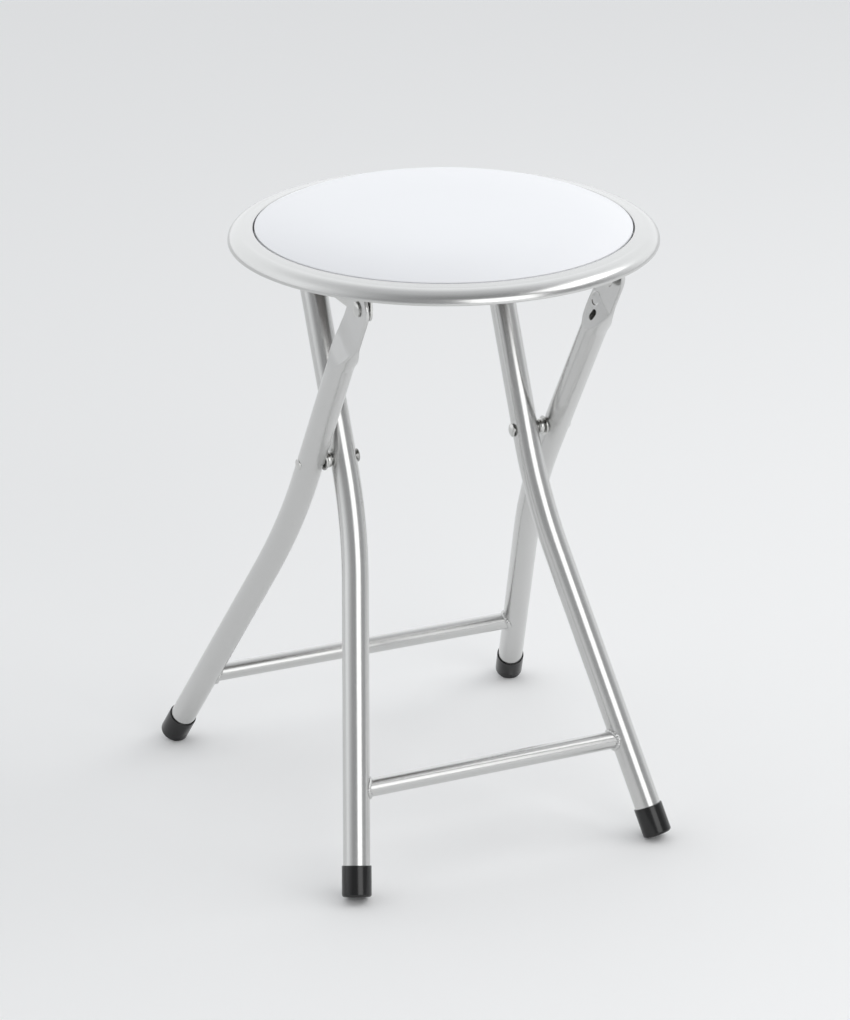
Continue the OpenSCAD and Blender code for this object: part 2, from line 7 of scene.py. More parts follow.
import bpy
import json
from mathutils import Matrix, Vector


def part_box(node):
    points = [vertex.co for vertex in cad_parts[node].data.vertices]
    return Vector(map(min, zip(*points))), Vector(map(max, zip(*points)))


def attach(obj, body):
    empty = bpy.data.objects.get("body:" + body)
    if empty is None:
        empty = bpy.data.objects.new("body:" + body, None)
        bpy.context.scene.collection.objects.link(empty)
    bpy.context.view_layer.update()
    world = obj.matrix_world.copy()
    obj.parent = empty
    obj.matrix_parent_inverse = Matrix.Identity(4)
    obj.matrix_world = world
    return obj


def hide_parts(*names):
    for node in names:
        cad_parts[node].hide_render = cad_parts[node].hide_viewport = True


bl_info = {
    "name": "Round folding stool",
    "version": (1, 0, 0),
    "blender": (4, 5, 0),
    "location": "View3D > Sidebar > Stool",
    "description": "Visible pieces and finishes of a round padded folding stool",
    "category": "Object",
}

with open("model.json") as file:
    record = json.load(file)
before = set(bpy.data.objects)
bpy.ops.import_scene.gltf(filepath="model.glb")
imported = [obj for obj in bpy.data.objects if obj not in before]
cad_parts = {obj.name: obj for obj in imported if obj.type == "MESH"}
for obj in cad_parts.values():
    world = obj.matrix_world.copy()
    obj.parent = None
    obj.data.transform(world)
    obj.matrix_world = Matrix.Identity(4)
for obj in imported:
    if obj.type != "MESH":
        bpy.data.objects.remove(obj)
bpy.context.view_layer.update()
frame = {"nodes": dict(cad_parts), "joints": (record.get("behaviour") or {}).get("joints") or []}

import json
import math
from types import SimpleNamespace

import bmesh
import bpy
import numpy as np
from bpy.props import FloatProperty, FloatVectorProperty, PointerProperty
from mathutils import Vector

JOINTS = {j["name"]: j["pos_m"] for j in frame["joints"]}
RING_LOW, RING_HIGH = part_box("seat_ring")
MM = 0.001
TURN = 2 * math.pi


# Sizes and colours


def length(name, description, mm):
    """A length property, given in millimetres and kept in metres."""
    return FloatProperty(
        name=name, description=description, default=mm * MM, unit="LENGTH", subtype="DISTANCE", precision=5)


def angle(name, description, degrees):
    """An angle property, given in degrees and kept in radians."""
    return FloatProperty(
        name=name, description=description, default=math.radians(degrees), unit="ROTATION", subtype="ANGLE")


def srgb(code):
    """Linear red, green and blue of an sRGB hex colour such as "C8C7C4", by the standard's curve."""
    c = np.array([int(code[i:i + 2], 16) for i in (0, 2, 4)]) / 255
    return tuple(np.where(c <= 0.04045, c / 12.92, ((c + 0.055) / 1.055) ** 2.4))


def colour(name, description, code):
    """A colour property, given as sRGB hex and kept linear."""
    return FloatVectorProperty(
        name=name, description=description, default=srgb(code), subtype="COLOR", size=3, min=0, max=1)


class StoolFrameSizes(bpy.types.PropertyGroup):
    """Sizes of the two tube frames."""

    tube_d: length("Leg tube", "Outer diameter of the leg tubes", 19.0)
    bar_d: length("Cross bar", "Outer diameter of the cross bars", 13.0)
    outer_x: length("Outer leg offset", "Distance of the outer legs' upper ends from the middle", 96.1)
    pivot_gap: length("Pivot gap", "Gap between an outer and an inner leg", 6.0)
    hinge_up: length("Hinge height", "Distance from the pivots up the outer legs to the hinge", 166.8)
    top_up: length("Arch height", "Distance from the pivots up to the inner frame's top bar", 164.55)
    outer_lean: angle("Outer lean", "Lean of the outer frame from upright", 32.4098)
    inner_lean: angle("Inner lean", "Lean of the inner frame from upright", 25.1761)
    splay: angle("Splay", "Outward splay of the legs below their bends", 10.4)
    outer_bend_down: length("Outer bend", "Distance from the pivot down to the outer bend", 74.0)
    outer_bend_r: length("Outer bend radius", "Bend radius of the outer legs", 600.0)
    inner_bend_down: length("Inner bend", "Distance from the pivot down to the inner bend", 48.0)
    inner_bend_r: length("Inner bend radius", "Bend radius of the inner legs", 460.0)
    corner_r: length("Arch corner", "Bend radius of the inner frame's top corners", 35.0)
    outer_down: length("Outer leg end", "Distance from the pivot down to the outer feet", 326.574)
    inner_down: length("Inner leg end", "Distance from the pivot down to the inner feet", 305.731)
    outer_bar_down: length("Outer cross bar", "Distance from the pivot down to the outer bar", 253.974)
    inner_bar_down: length("Inner cross bar", "Distance from the pivot down to the inner bar", 232.531)
    weld_r: length("Weld bead", "Half width of the weld beads", 1.7)
    tongue_r: length("Flat end half width", "Half width of the flattened leg ends", 14.5)
    tongue_t: length("Flat end thickness", "Thickness of the flattened leg ends", 3.0)
    tongue_in: length("Flat end offset", "How far the flattened ends lie inward", 0.8)
    tongue_flat: length("Flat length", "Length of the flat below the hinge", 28.0)
    tongue_neck: length("Neck", "Distance below the hinge where the tube is round", 56.0)
    vent_d: length("Vent slot width", "Width of the vent slot in the inner face", 5.0)
    vent_len: length("Vent slot length", "Length of the vent slot", 9.0)
    vent_down: length("Vent slot place", "Distance of the vent slot below the hinge", 42.4)
    vent_side: length("Vent slot offset", "Distance of the vent slot in front of the leg's middle", 1.0)
    mark_d: length("Press mark", "Diameter of the round press mark", 9.5)
    mark_down: length("Press mark place", "Distance of the press mark below the hinge", 33.0)
    mark_side: length("Press mark offset", "Distance of the press mark behind the leg's middle", 5.1)
    cap_d: length("Foot cap", "Outer diameter of the foot caps", 21.0)
    cap_len: length("Foot cap length", "Length of the foot caps", 22.0)
    cap_floor: length("Foot cap floor", "Thickness of a cap's floor under the tube", 3.0)


class StoolSeatSizes(bpy.types.PropertyGroup):
    """Sizes of the seat, its ring and the rails' sheet."""

    shoulder_w: length("Shoulder width", "Width of the ring's rounded shoulder", 10.5)
    shoulder_h: length("Shoulder height", "Height of the ring's rounded shoulder", 8.0)
    lip_w: length("Lip width", "Width of the sloping lip beside the cushion", 7.3)
    lip_rise: length("Lip rise", "Rise of the lip towards the cushion", 1.2)
    sheet_t: length("Ring sheet", "Thickness of the ring's sheet", 1.0)
    hem_r: length("Hem radius", "Radius of the ring's rolled hem", 1.2)
    flange_w: length("Flange width", "Width of the ring's inward flange", 14.0)
    flange_up: length("Flange height", "Height of the flange above the ring's lower edge", 1.0)
    crown_h: length("Crown height", "Height of the cushion above the lip", 16.5)
    crown_flat: FloatProperty(
        name="Crown flatness", description="Power by which the crown falls towards its edge", default=5.0)
    swell: length("Swell", "How much the cover swells over its blank", 1.6)
    cushion_gap: length("Cushion gap", "Gap between the cushion and the lip", 1.0)
    cover_t: length("Cover thickness", "Thickness of the vinyl cover", 0.8)
    board_t: length("Board thickness", "Thickness of the board under the foam", 5.0)
    rail_t: length("Rail sheet", "Thickness of the hinge rails", 1.5)
    hinge_gap: length("Hinge gap", "Gap between a flat leg end and its rail", 3.6)


class StoolRivetSizes(bpy.types.PropertyGroup):
    """Sizes of the rivets, spacers and washers."""

    pivot_d: length("Pivot rivet", "Diameter of the pivot rivets", 6.0)
    pivot_head_d: length("Pivot head", "Diameter of the pivot rivets' domed heads", 9.8)
    pivot_head_h: length("Pivot head height", "Height of the pivot rivets' domed heads", 2.6)
    flat_head_d: length("Flat head", "Diameter of the flat heads on the outer legs", 7.8)
    flat_head_h: length("Flat head height", "Height of the flat heads on the outer legs", 0.6)
    spacer_d: length("Spacer", "Diameter of the pivot spacers", 11.5)
    washer_d: length("Washer", "Diameter of the washers beside the spacers", 14.5)
    washer_t: length("Washer thickness", "Thickness of the washers beside the spacers", 1.0)
    hinge_d: length("Hinge rivet", "Diameter of the hinge rivets", 5.0)
    hinge_head_d: length("Hinge head", "Diameter of the hinge rivets' domed heads", 11.0)
    hinge_head_h: length("Hinge head height", "Height of the hinge rivets' domed heads", 2.5)
    hinge_tail_d: length("Hinge tail", "Diameter of the hinge rivets' inner heads", 9.0)
    hinge_tail_h: length("Hinge tail height", "Thickness of the hinge rivets' inner heads", 1.4)
    hinge_washer_d: length("Hinge washer", "Diameter of the hinge washers", 12.0)
    hold_fit: length("Hole clearance", "Clearance of the washers and spacers on their rivets", 0.02)
    turn_gap: length("Side gap", "Gap beside a part that turns on a rivet", 0.3)


class StoolColours(bpy.types.PropertyGroup):
    """Colours of the finishes and of the studio."""

    silver: colour("Silver paint", "Satin silver enamel of the tubes and the ring", "CECECD")
    steel: colour("Zinc plate", "Bright zinc-plated steel of rivets, rails and screws", "D2D2D0")
    vinyl: colour("Vinyl", "White vinyl of the cushion", "F7F8FB")
    rubber: colour("Foot caps", "Black moulded foot caps", "0D0D0E")
    # The board's dark brown is painted shade: it stands in for the shade under the seat
    board: colour("Board", "Dark hardboard under the seat", "463E38")
    studio: colour("Studio", "Pale paper floor", "F8F8F8")


# Shape helpers, which work on whole arrays of points


def derive(scene):
    """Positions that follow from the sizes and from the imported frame, in its axes."""
    f, s = scene.stool_frame, scene.stool_seat
    g = SimpleNamespace()
    g.pivot = np.array(JOINTS["frame_pivot"])
    g.seat_y = (RING_LOW.y + RING_HIGH.y) / 2
    g.ring_r = (RING_HIGH.x - RING_LOW.x) / 2
    g.ring_z = RING_LOW.z + s.hem_r
    g.tube_r, g.bar_r, g.cap_r = f.tube_d / 2, f.bar_d / 2, f.cap_d / 2
    g.inner_x = f.outer_x - f.tube_d - f.pivot_gap
    g.crease_r = g.ring_r - s.shoulder_w
    g.lip_r = g.crease_r - s.lip_w
    g.flange_r = g.lip_r - s.flange_w
    g.lip_z = g.ring_z + s.shoulder_h + s.lip_rise
    g.flange_z = g.ring_z + s.flange_up + s.sheet_t
    g.board_z = g.flange_z + s.cover_t
    g.cushion_r = g.lip_r - s.cushion_gap
    g.tongue_x = f.outer_x - f.tongue_in
    g.tongue_face = g.tongue_x - f.tongue_t / 2
    g.rail_face = g.tongue_face - s.hinge_gap
    return g


def turned(points, axis, by):
    """Points turned about the X (0), Y (1) or Z (2) axis by an angle, right-handed."""
    c, s = math.cos(by), math.sin(by)
    i, j = (axis + 1) % 3, (axis + 2) % 3
    out = np.array(points, float)
    out[..., i] = points[..., i] * c - points[..., j] * s
    out[..., j] = points[..., i] * s + points[..., j] * c
    return out


def leaned(points, g, lean):
    """Points of a frame drawn upright about its pivot, leaned about X and moved to the pivot."""
    return turned(points, 0, lean) + g.pivot * (0, 1, 1)


def mirrored(points):
    """The points' mirror image in the plane x = 0."""
    return points * (-1, 1, 1)


def as_drawn(points):
    """The points as they are: everything is drawn on the right."""
    return points


# The name of each side, and what takes points drawn on the right to it
SIDES = (("left", mirrored), ("right", as_drawn))


def lathe(profile, around):
    """A profile of (radius, height) pairs turned about Z: x, y = radius times cosine and sine."""
    r, h = np.asarray(profile, float).T
    a = np.arange(around) / around * TURN
    return np.stack([r[:, None] * np.cos(a), r[:, None] * np.sin(a), h[:, None] + 0 * a], -1)


def along_x(points):
    """Points turned so that their Z axis lies along X."""
    return points[..., [2, 0, 1]]


def rounded(corners, radii, steps=6):
    """A line through the corners, each replaced by an arc of its radius.

    The arc starts at radius * tan(half the turn) before the corner; its points are that start
    plus the radius along the way in times sine, and across it times one minus cosine.
    """
    p = np.asarray(corners, float)
    out = []
    for i, radius in enumerate(radii):
        if radius <= 0 or i in (0, len(p) - 1):
            out.append(p[i][None])
            continue
        a, b = p[i] - p[i - 1], p[i + 1] - p[i]
        a, b = a / np.linalg.norm(a), b / np.linalg.norm(b)
        side = a[0] * b[1] - a[1] * b[0]
        turn = math.atan2(abs(side), float(a @ b))
        across = np.array([-a[1], a[0]]) * (1 if side > 0 else -1)
        t = np.linspace(0, turn, steps + 1)[:, None]
        start = p[i] - a * radius * math.tan(turn / 2)
        out.append(start + radius * (np.sin(t) * a + (1 - np.cos(t)) * across))
    return np.concatenate(out)


def closed_ends(grid):
    """The grid with its first and last rings drawn in to their centres, which shuts both ends."""
    first, last = grid[:1].mean(1, keepdims=True), grid[-1:].mean(1, keepdims=True)
    n = grid.shape[1]
    return np.concatenate([first.repeat(n, 1), grid, last.repeat(n, 1)])


def leg_line(x0, down, radius, splay, s):
    """A leg's centreline at distances s below the pivot: straight, an arc outward, straight.

    The lean angle's sine is (s - start) / radius inside the bend; x is x0 plus
    radius * (1 - cosine), plus the tangent of the splay times what lies below the bend.
    """
    start = down - radius * math.tan(splay / 2)
    stop = start + radius * math.sin(splay)
    phi = np.arcsin(np.clip((s - start) / radius, 0, math.sin(splay)))
    x = x0 + radius * (1 - np.cos(phi)) + np.maximum(s - stop, 0) * math.tan(splay)
    return x, phi


def section(half, radius, edge, n):
    """Rings of a flattened tube: a disc of a radius, pressed to a half thickness, with round edges.

    A quarter of the ring runs along the flat (x = half), round the edge and along the disc
    (x, y = radius times cosine, sine). Points are spread by length plus a share for turning.
    All arguments are arrays with one value for each ring.
    """
    half, radius, edge = (np.asarray(v, float)[:, None] for v in (half, radius, edge))
    half = np.minimum(half, radius)
    edge = np.minimum(edge, half)
    flat = np.sqrt(np.maximum((radius - edge) ** 2 - (half - edge) ** 2, 0))
    beta = np.arctan2(flat, np.maximum(half - edge, 1e-12))
    share = 2.5 * MM
    w1 = flat
    w2 = (edge + share) * beta
    w3 = (radius + share) * (math.pi / 2 - beta)
    q = np.linspace(0, 1, n // 4 + 1)[None] * (w1 + w2 + w3)
    a2 = np.clip(q - w1, 0, w2) / np.maximum(w2, 1e-12) * beta
    a3 = beta + np.clip(q - w1 - w2, 0, w3) / np.maximum(w3, 1e-12) * (math.pi / 2 - beta)
    on_flat, on_edge = q <= w1, q <= w1 + w2
    x = np.where(on_flat, half, np.where(on_edge, half - edge + edge * np.cos(a2), radius * np.cos(a3)))
    y = np.where(on_flat, q, np.where(on_edge, flat + edge * np.sin(a2), radius * np.sin(a3)))
    x = np.concatenate([x[:, :-1], -x[:, :0:-1], -x[:, :-1], x[:, :0:-1]], 1)
    y = np.concatenate([y[:, :-1], y[:, :0:-1], -y[:, :-1], -y[:, :0:-1]], 1)
    return x, y


def eased(t):
    """A smooth step from 0 to 1: 3 t squared minus 2 t cubed."""
    t = np.clip(t, 0, 1)
    return t * t * (3 - 2 * t)


def quads(rows, columns, close_rows, close_columns):
    """Corner numbers of the four-sided faces of a grid of points, closed where it meets itself."""
    i = np.arange(rows if close_rows else rows - 1)[:, None]
    j = np.arange(columns if close_columns else columns - 1)[None]
    i2, j2 = (i + 1) % rows, (j + 1) % columns
    corners = [i * columns + j, i2 * columns + j, i2 * columns + j2, i * columns + j2]
    return np.stack(corners, -1).reshape(-1, 4)


def shade(mesh, crease=38):
    """Shades a mesh smooth, but for its edges that are sharper than the crease angle in degrees."""
    mesh.shade_smooth()
    mesh.set_sharp_from_angle(angle=math.radians(crease))


def build_mesh(name, shells, crease=38):
    """A mesh from shells, each (grid of points, closed along rows, closed along columns).

    Points that coincide are merged, faces are turned outwards, and edges sharper than the
    crease angle in degrees stay sharp.
    """
    points, faces, base = [], [], 0
    for grid, close_rows, close_columns in shells:
        rows, columns = grid.shape[:2]
        points.append(grid.reshape(-1, 3))
        faces.append(quads(rows, columns, close_rows, close_columns) + base)
        base += rows * columns
    points, faces = np.concatenate(points), np.concatenate(faces)
    mesh = bpy.data.meshes.new(name)
    mesh.vertices.add(len(points))
    mesh.vertices.foreach_set("co", points.astype(np.float32).ravel())
    mesh.loops.add(faces.size)
    mesh.loops.foreach_set("vertex_index", faces.astype(np.int32).ravel())
    mesh.polygons.add(len(faces))
    mesh.polygons.foreach_set("loop_start", np.arange(0, faces.size, 4, dtype=np.int32))
    mesh.update(calc_edges=True)
    same_place, no_length = 2e-6, 1e-7
    work = bmesh.new()
    work.from_mesh(mesh)
    bmesh.ops.remove_doubles(work, verts=work.verts, dist=same_place)
    bmesh.ops.dissolve_degenerate(work, edges=work.edges, dist=no_length)
    bmesh.ops.recalc_face_normals(work, faces=work.faces)
    work.to_mesh(mesh)
    work.free()
    shade(mesh, crease)
    return mesh


def add_piece(name, mesh, body, material, stands_for):
    """Links a mesh as a piece that rides on a body and stands for the CAD nodes named."""
    piece = bpy.data.objects.new(name, mesh)
    bpy.context.scene.collection.objects.link(piece)
    mesh.materials.append(material)
    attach(piece, body)
    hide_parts(*stands_for)
    return piece


# Finishes


def add_node(tree, kind, values=None, links=None, **settings):
    """Adds a shader node: its own settings, constant values of inputs, and links into inputs.

    A link starts at an output, or at a node, which stands for its first output in use.
    """
    made = tree.nodes.new(kind)
    for key, value in settings.items():
        setattr(made, key, value)
    for key, value in (values or {}).items():
        made.inputs[key].default_value = value
    for key, source in (links or {}).items():
        if isinstance(source, bpy.types.Node):
            source = next(o for o in source.outputs if o.enabled)
        tree.links.new(source, made.inputs[key])
    return made


def finish(build, colour):
    """The material that a function builds in a colour: named like it, made once, then found again."""
    name = build.__name__
    if name in bpy.data.materials:
        return bpy.data.materials[name]
    material = bpy.data.materials.new(name)
    material.use_nodes = True
    material.node_tree.nodes.clear()
    build(material.node_tree, colour)
    return material


def add_shader(tree, values, links):
    """Adds a finish's shader, with values and links of its inputs, and its output."""
    shader = add_node(tree, "ShaderNodeBsdfPrincipled", values, links)
    add_node(tree, "ShaderNodeOutputMaterial", links={"Surface": shader})


def rgba(c, by=1.0):
    """A linear colour with alpha 1, brightened by a factor."""
    return tuple(min(1.0, x * by) for x in c) + (1.0,)


def satin_silver_enamel(tree, c):
    """Satin silver metallic enamel, sprayed and baked: soft bands of light, a faint flake."""
    place = add_node(tree, "ShaderNodeTexCoord").outputs["Object"]
    # Flakes about 0.5 mm across, drawn coarser than real ones so that they show
    flake = add_node(tree, "ShaderNodeTexNoise", {"Scale": 2000.0, "Detail": 1.0}, {"Vector": place})
    # Orange peel of the sprayed coat, waves of about 4 mm
    peel = add_node(
        tree, "ShaderNodeTexNoise", {"Scale": 240.0, "Detail": 2.0, "Roughness": 0.4}, {"Vector": place})
    # Handling marks, patches of 20 to 40 mm
    haze = add_node(
        tree, "ShaderNodeTexNoise", {"Scale": 32.0, "Detail": 4.0, "Roughness": 0.6}, {"Vector": place})
    tint = add_node(
        tree, "ShaderNodeMix", {"A": rgba(c, 0.94), "B": rgba(c, 1.05)}, {"Factor": flake}, data_type="RGBA")
    rough = add_node(tree, "ShaderNodeMapRange", {"To Min": 0.21, "To Max": 0.29}, {"Value": haze})
    low = add_node(tree, "ShaderNodeBump", {"Strength": 0.10, "Distance": 0.10 * MM}, {"Height": peel})
    fine = add_node(
        tree, "ShaderNodeBump", {"Strength": 0.06, "Distance": 0.02 * MM}, {"Height": flake, "Normal": low})
    add_shader(
        tree, {"Metallic": 0.92, "Coat Weight": 0.25, "Coat Roughness": 0.12},
        {"Base Color": tint, "Roughness": rough, "Normal": fine})


def bright_zinc_plate(tree, c):
    """Bright zinc plate on pressed steel: sharper glints, faint cloudy spangle."""
    place = add_node(tree, "ShaderNodeTexCoord").outputs["Object"]
    # Spangle of the plating, patches of about 2 mm
    cloud = add_node(tree, "ShaderNodeTexNoise", {"Scale": 450.0, "Detail": 3.0}, {"Vector": place})
    # Rolling lines of the sheet, 0.3 mm apart and drawn out along Y
    lay = add_node(tree, "ShaderNodeMapping", {"Scale": (1.0, 0.04, 1.0)}, {"Vector": place})
    lines = add_node(tree, "ShaderNodeTexNoise", {"Scale": 3300.0, "Detail": 1.0}, {"Vector": lay})
    tint = add_node(
        tree, "ShaderNodeMix", {"A": rgba(c, 0.86), "B": rgba(c, 1.04)}, {"Factor": cloud}, data_type="RGBA")
    rough = add_node(tree, "ShaderNodeMapRange", {"To Min": 0.16, "To Max": 0.32}, {"Value": cloud})
    bump = add_node(tree, "ShaderNodeBump", {"Strength": 0.08, "Distance": 0.02 * MM}, {"Height": lines})
    add_shader(tree, {"Metallic": 1.0}, {"Base Color": tint, "Roughness": rough, "Normal": bump})


def white_upholstery_vinyl(tree, c):
    """Smooth upholstery vinyl, calendered PVC: a soft gloss over a fine leather grain."""
    place = add_node(tree, "ShaderNodeTexCoord").outputs["Object"]
    # Embossed grain, cells of about 0.9 mm
    grain = add_node(tree, "ShaderNodeTexVoronoi", {"Scale": 1100.0}, {"Vector": place}, feature="SMOOTH_F1")
    # Broad unevenness of the foam under the sheet, about 40 mm
    soft = add_node(tree, "ShaderNodeTexNoise", {"Scale": 26.0, "Detail": 2.0}, {"Vector": place})
    tint = add_node(
        tree, "ShaderNodeMix", {"A": rgba(c, 0.985), "B": rgba(c, 1.01)}, {"Factor": soft}, data_type="RGBA")
    rough = add_node(tree, "ShaderNodeMapRange", {"To Min": 0.36, "To Max": 0.46}, {"Value": soft})
    swell = add_node(tree, "ShaderNodeBump", {"Strength": 0.12, "Distance": 0.8 * MM}, {"Height": soft})
    fine = add_node(
        tree, "ShaderNodeBump", {"Strength": 0.10, "Distance": 0.06 * MM},
        {"Height": grain, "Normal": swell})
    add_shader(tree, {"IOR": 1.52}, {"Base Color": tint, "Roughness": rough, "Normal": fine})


def moulded_black_pvc(tree, c):
    """Moulded black PVC caps: glossy skin, dulled and dusty where they stand."""
    place = add_node(tree, "ShaderNodeTexCoord").outputs["Object"]
    height = add_node(tree, "ShaderNodeSeparateXYZ", links={"Vector": place})
    # Scuffs of 2 to 5 mm, kept to the lowest 6 mm
    scuff = add_node(
        tree, "ShaderNodeTexNoise", {"Scale": 300.0, "Detail": 5.0, "Roughness": 0.7}, {"Vector": place})
    near = add_node(
        tree, "ShaderNodeMapRange", {"From Min": 6 * MM, "From Max": 0.5 * MM},
        {"Value": height.outputs["Z"]})
    worn = add_node(tree, "ShaderNodeMath", links={0: near, 1: scuff}, operation="MULTIPLY")
    tint = add_node(
        tree, "ShaderNodeMix", {"A": rgba(c), "B": rgba(c, 6.0)}, {"Factor": worn}, data_type="RGBA")
    rough = add_node(tree, "ShaderNodeMapRange", {"To Min": 0.22, "To Max": 0.6}, {"Value": worn})
    # Faint flow texture of the moulding, about 1.5 mm
    flow = add_node(tree, "ShaderNodeTexNoise", {"Scale": 650.0, "Detail": 2.0}, {"Vector": place})
    bump = add_node(tree, "ShaderNodeBump", {"Strength": 0.06, "Distance": 0.05 * MM}, {"Height": flow})
    add_shader(tree, {"IOR": 1.53}, {"Base Color": tint, "Roughness": rough, "Normal": bump})


def hardboard_darkened_as_painted_shade(tree, c):
    """Tempered hardboard, pressed wood fibre: smooth, a faint felt of fibres. Its dark brown is painted
    shade, standing in for the shade under the seat.
    """
    place = add_node(tree, "ShaderNodeTexCoord").outputs["Object"]
    # Bundles of fibre about 2 mm across
    fibre = add_node(
        tree, "ShaderNodeTexNoise", {"Scale": 480.0, "Detail": 6.0, "Roughness": 0.65}, {"Vector": place})
    tint = add_node(
        tree, "ShaderNodeMix", {"A": rgba(c, 0.75), "B": rgba(c, 1.3)}, {"Factor": fibre}, data_type="RGBA")
    bump = add_node(tree, "ShaderNodeBump", {"Strength": 0.2, "Distance": 0.08 * MM}, {"Height": fibre})
    add_shader(tree, {"Roughness": 0.55}, {"Base Color": tint, "Normal": bump})


def pale_studio_paper(tree, c):
    """The studio's floor of matt paper."""
    add_shader(tree, {"Base Color": rgba(c), "Roughness": 0.9}, {})


# Pieces


def outer_leg_grid(f, g, n=144):
    """An outer leg, drawn upright on the right: round tube, bend, ramp and a flat end.

    Down the leg, each ring is the flattened-tube section at the leg's centreline. Above the
    neck the half thickness falls in a straight ramp from the tube's radius to half the flat's
    thickness, while the radius grows in a straight line to the flat's half width.
    At the tip the radius follows the round end, and the thickness its rounded edge. The ramp's
    corners are rounded by averaging, over a longer way on the outer face, which is softer.
    """
    up, neck, flat = f.hinge_up, f.hinge_up - f.tongue_neck, f.hinge_up - f.tongue_flat
    end = f.outer_down - f.cap_floor * math.cos(f.splay)
    start = f.outer_bend_down - f.outer_bend_r * math.tan(f.splay / 2)
    stop = start + f.outer_bend_r * math.sin(f.splay)
    thin = f.tongue_t / 2
    # Rings from the tip down: 1 mm apart on the flat, closer on the ramp, a few to the bend, close round it
    coarse, fine, below = 1 * MM, 0.35 * MM, 3 * MM
    tip = up + f.tongue_r * np.sin(np.linspace(math.pi / 2, 0, 40))
    z = np.concatenate([
        tip, np.arange(up, flat + coarse, -coarse)[1:], np.arange(flat + coarse, neck - below, -fine),
        np.linspace(neck - below - 0.5 * MM, -start, 12), -np.linspace(start, stop, 48)[1:], [-end]])
    wide = np.interp(z, [neck, flat], [g.tube_r, f.tongue_r])
    wide = np.where(z > up, np.sqrt(np.maximum(f.tongue_r ** 2 - (z - up) ** 2, 0)), wide)

    def ramp(reach, n):
        """The ramp, 0 at the neck and 1 at the flat, averaged over a reach up and down the leg."""
        shift = np.linspace(-reach, reach, n)[:, None]
        return np.clip((z + shift - neck) / (flat - neck), 0, 1).mean(0)

    crisp = ramp(1 * MM, 9)
    # The outer face, quite flat from 2 mm under the hinge
    soft = np.where(z > up - 2 * MM, 1, ramp(9 * MM, 25))
    beyond = np.maximum(z - (up + f.tongue_r - thin), 0)
    end_half = np.sqrt(np.maximum(thin ** 2 - beyond ** 2, 0))
    half, half_out = (np.where(z > up, end_half, g.tube_r * (1 - r) + thin * r) for r in (crisp, soft))
    # The pressed edges' radius: nearly sharp at the neck, half the flat's thickness on the flat
    edge = np.interp(z, [neck - 1 * MM, neck + 6 * MM, flat], [0.2 * MM, 1.0 * MM, thin])
    a, b = section(half, wide, edge, n)
    a_out, b_out = section(half_out, wide, edge, n)
    a, b = np.where(a > 0, a_out, a), np.where(a > 0, b_out, b)
    x, phi = leg_line(f.outer_x, f.outer_bend_down, f.outer_bend_r, f.splay, -z)
    x, z, phi = (v[:, None] for v in (x - f.tongue_in * crisp, z, phi))
    return np.stack([x + a * np.cos(phi), b + 0 * x, z + a * np.sin(phi)], -1)


def press_mark(points, f, g):
    """Presses a round mark into the ramp's inner face: a shallow dish with a raised rim.

    The face moves out by a bell curve of the distance from the rim, about 1 mm wide, and in by
    a smooth step inside the rim. The outer face stays as it is.
    """
    rim_w, rim_h, slope, dish_h, blend = 0.55 * MM, 0.28 * MM, 1.2 * MM, 0.10 * MM, 0.5 * MM
    away = np.hypot(points[..., 1] - f.mark_side, points[..., 2] - f.hinge_up + f.mark_down)
    inner = eased((g.tongue_x - points[..., 0]) / blend)
    rim = np.exp(-((away - f.mark_d / 2) / rim_w) ** 2)
    dish = eased((f.mark_d / 2 - away) / slope)
    out = points.copy()
    out[..., 0] -= (rim_h * rim - dish_h * dish) * inner
    return out


def slot_cutter(f, g):
    """The vent slot's cutter: a rounded oblong along the leg, pushed into the inner face along X.

    Round the slot, y is half its width times the cosine of the angle and z half its width
    times the sine, moved up or down by half the straight part.
    """
    a = (np.arange(64) + 0.5) / 64 * TURN
    y = f.vent_d / 2 * np.cos(a)
    z = f.vent_d / 2 * np.sin(a) + np.sign(np.sin(a)) * (f.vent_len - f.vent_d) / 2
    ring = np.stack([0 * a, y - f.vent_side, z + f.hinge_up - f.vent_down], -1)
    # From the stool's middle side to just past the leg's axis, short of its outer face
    before, past = 30 * MM, 1 * MM
    depth = np.array([g.tongue_x - before, f.outer_x + past])
    return closed_ends(ring[None] + depth[:, None, None] * (1, 0, 0))


class STOOL_OT_outer_legs(bpy.types.Operator):
    """Add the two outer legs with their flattened ends"""

    bl_idname = "stool.outer_legs"
    bl_label = "Outer Legs"

    def execute(self, context):
        f, g = context.scene.stool_frame, derive(context.scene)
        grid = press_mark(outer_leg_grid(f, g), f, g)
        paint = finish(satin_silver_enamel, context.scene.stool_colours.silver)
        hole = slot_cutter(f, g)
        for side, flip in SIDES:
            name = "outer_leg_" + side
            mesh = build_mesh(name, [(closed_ends(leaned(flip(grid), g, f.outer_lean)), False, True)])
            leg = add_piece(name + "_tube", mesh, "outer_frame", paint, [name])
            slot = build_mesh("vent_cutter", [(leaned(flip(hole), g, f.outer_lean), False, True)])
            cutter = bpy.data.objects.new("vent_cutter", slot)
            context.scene.collection.objects.link(cutter)
            cut = leg.modifiers.new("vent", "BOOLEAN")
            cut.object, cut.operation, cut.solver = cutter, "DIFFERENCE", "EXACT"
            context.view_layer.update()
            done = bpy.data.meshes.new_from_object(leg.evaluated_get(context.evaluated_depsgraph_get()))
            leg.modifiers.clear()
            leg.data = done
            shade(done)
            bpy.data.objects.remove(cutter)
        return {"FINISHED"}


